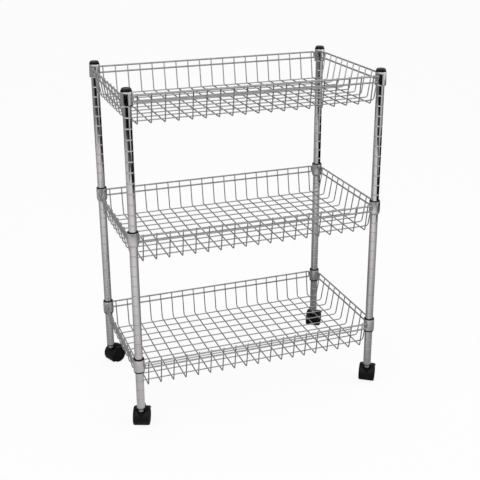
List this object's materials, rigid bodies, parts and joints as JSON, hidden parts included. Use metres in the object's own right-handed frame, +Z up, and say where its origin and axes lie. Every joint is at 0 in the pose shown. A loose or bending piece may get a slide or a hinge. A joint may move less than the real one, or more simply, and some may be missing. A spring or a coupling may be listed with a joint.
{
  "type": "utility cart",
  "caption": "Free-standing cart with stacked wire baskets clamped to round grooved posts, on swivelling twin-wheel casters.",
  "frame": {"origin": "on the floor, midway between the four post axes", "axes": "+Z up, +X along the long side, +Y from the front to the back"},
  "size_m": [0.6482, 0.388, 0.81],
  "materials": {
    "post_chrome": "bright chrome plate with fine turned grooves",
    "basket_chrome": "bright chrome plate over welded wire",
    "plated_steel": "zinc-plated satin",
    "cap_plastic": "moulded, semi-gloss black",
    "sleeve_plastic": "moulded, satin black",
    "socket_plastic": "moulded, satin black",
    "hood_plastic": "moulded, semi-gloss black",
    "lever_plastic": "moulded, satin black",
    "wheel_plastic": "moulded, satin black"
  },
  "bodies": {
    "cart": {"bottom_basket_collars": "basket_chrome", "bottom_basket_cross_wires": "basket_chrome", "bottom_basket_length_wires": "basket_chrome", "bottom_basket_rims": "basket_chrome", "bottom_split_sleeves": "sleeve_plastic", "middle_basket_collars": "basket_chrome", "middle_basket_cross_wires": "basket_chrome", "middle_basket_length_wires": "basket_chrome", "middle_basket_rims": "basket_chrome", "middle_split_sleeves": "sleeve_plastic", "post_bl": "post_chrome", "post_br": "post_chrome", "post_cap_bl": "cap_plastic", "post_cap_br": "cap_plastic", "post_cap_fl": "cap_plastic", "post_cap_fr": "cap_plastic", "post_fl": "post_chrome", "post_fr": "post_chrome", "stem_socket_bl": "socket_plastic", "stem_socket_br": "socket_plastic", "stem_socket_fl": "socket_plastic", "stem_socket_fr": "socket_plastic", "top_basket_collars": "basket_chrome", "top_basket_cross_wires": "basket_chrome", "top_basket_length_wires": "basket_chrome", "top_basket_rims": "basket_chrome", "top_split_sleeves": "sleeve_plastic"},
    "caster_fl": {"caster_fl_axle": "plated_steel", "caster_fl_brake_pin": "plated_steel", "caster_fl_hood": "hood_plastic", "caster_fl_stem": "plated_steel", "caster_fl_washer": "plated_steel"},
    "wheel_fl_left": {"caster_fl_left_wheel": "wheel_plastic"},
    "wheel_fl_right": {"caster_fl_right_wheel": "wheel_plastic"},
    "brake_fl": {"caster_fl_brake_lever": "lever_plastic"},
    "caster_fr": {"caster_fr_axle": "plated_steel", "caster_fr_hood": "hood_plastic", "caster_fr_stem": "plated_steel", "caster_fr_washer": "plated_steel"},
    "wheel_fr_left": {"caster_fr_left_wheel": "wheel_plastic"},
    "wheel_fr_right": {"caster_fr_right_wheel": "wheel_plastic"},
    "caster_bl": {"caster_bl_axle": "plated_steel", "caster_bl_brake_pin": "plated_steel", "caster_bl_hood": "hood_plastic", "caster_bl_stem": "plated_steel", "caster_bl_washer": "plated_steel"},
    "wheel_bl_left": {"caster_bl_left_wheel": "wheel_plastic"},
    "wheel_bl_right": {"caster_bl_right_wheel": "wheel_plastic"},
    "brake_bl": {"caster_bl_brake_lever": "lever_plastic"},
    "caster_br": {"caster_br_axle": "plated_steel", "caster_br_hood": "hood_plastic", "caster_br_stem": "plated_steel", "caster_br_washer": "plated_steel"},
    "wheel_br_left": {"caster_br_left_wheel": "wheel_plastic"},
    "wheel_br_right": {"caster_br_right_wheel": "wheel_plastic"}
  },
  "joints": [
    {"name": "swivel_fl", "type": "hinge", "parent": "cart", "child": "caster_fl", "pos_m": [-0.296, -0.166, 0.05205], "axis": [0, 0, 1], "continuous": true},
    {"name": "roll_fl_left", "type": "hinge", "parent": "caster_fl", "child": "wheel_fl_left", "pos_m": [-0.29098, -0.15293, 0.02], "axis": [-0.9336, 0.3584, 0], "continuous": true},
    {"name": "roll_fl_right", "type": "hinge", "parent": "caster_fl", "child": "wheel_fl_right", "pos_m": [-0.29098, -0.15293, 0.02], "axis": [-0.9336, 0.3584, 0], "continuous": true},
    {"name": "brake_fl", "type": "hinge", "parent": "caster_fl", "child": "brake_fl", "pos_m": [-0.28585, -0.13955, 0.03708], "axis": [-0.9336, 0.3584, 0], "range_deg": [-22, 0]},
    {"name": "swivel_fr", "type": "hinge", "parent": "cart", "child": "caster_fr", "pos_m": [0.296, -0.166, 0.05205], "axis": [0, 0, 1], "continuous": true},
    {"name": "roll_fr_left", "type": "hinge", "parent": "caster_fr", "child": "wheel_fr_left", "pos_m": [0.30383, -0.15439, 0.02], "axis": [-0.829, 0.5592, 0], "continuous": true},
    {"name": "roll_fr_right", "type": "hinge", "parent": "caster_fr", "child": "wheel_fr_right", "pos_m": [0.30383, -0.15439, 0.02], "axis": [-0.829, 0.5592, 0], "continuous": true},
    {"name": "swivel_bl", "type": "hinge", "parent": "cart", "child": "caster_bl", "pos_m": [-0.296, 0.166, 0.05205], "axis": [0, 0, 1], "continuous": true},
    {"name": "roll_bl_left", "type": "hinge", "parent": "caster_bl", "child": "wheel_bl_left", "pos_m": [-0.28321, 0.17169, 0.02], "axis": [-0.4067, 0.9135, 0], "continuous": true},
    {"name": "roll_bl_right", "type": "hinge", "parent": "caster_bl", "child": "wheel_bl_right", "pos_m": [-0.28321, 0.17169, 0.02], "axis": [-0.4067, 0.9135, 0], "continuous": true},
    {"name": "brake_bl", "type": "hinge", "parent": "caster_bl", "child": "brake_bl", "pos_m": [-0.27011, 0.17752, 0.03708], "axis": [-0.4067, 0.9135, 0], "range_deg": [0, 22]},
    {"name": "swivel_br", "type": "hinge", "parent": "cart", "child": "caster_br", "pos_m": [0.296, 0.166, 0.05205], "axis": [0, 0, 1], "continuous": true},
    {"name": "roll_br_left", "type": "hinge", "parent": "caster_br", "child": "wheel_br_left", "pos_m": [0.30403, 0.17747, 0.02], "axis": [-0.8192, 0.5736, 0], "continuous": true},
    {"name": "roll_br_right", "type": "hinge", "parent": "caster_br", "child": "wheel_br_right", "pos_m": [0.30403, 0.17747, 0.02], "axis": [-0.8192, 0.5736, 0], "continuous": true}
  ]
}
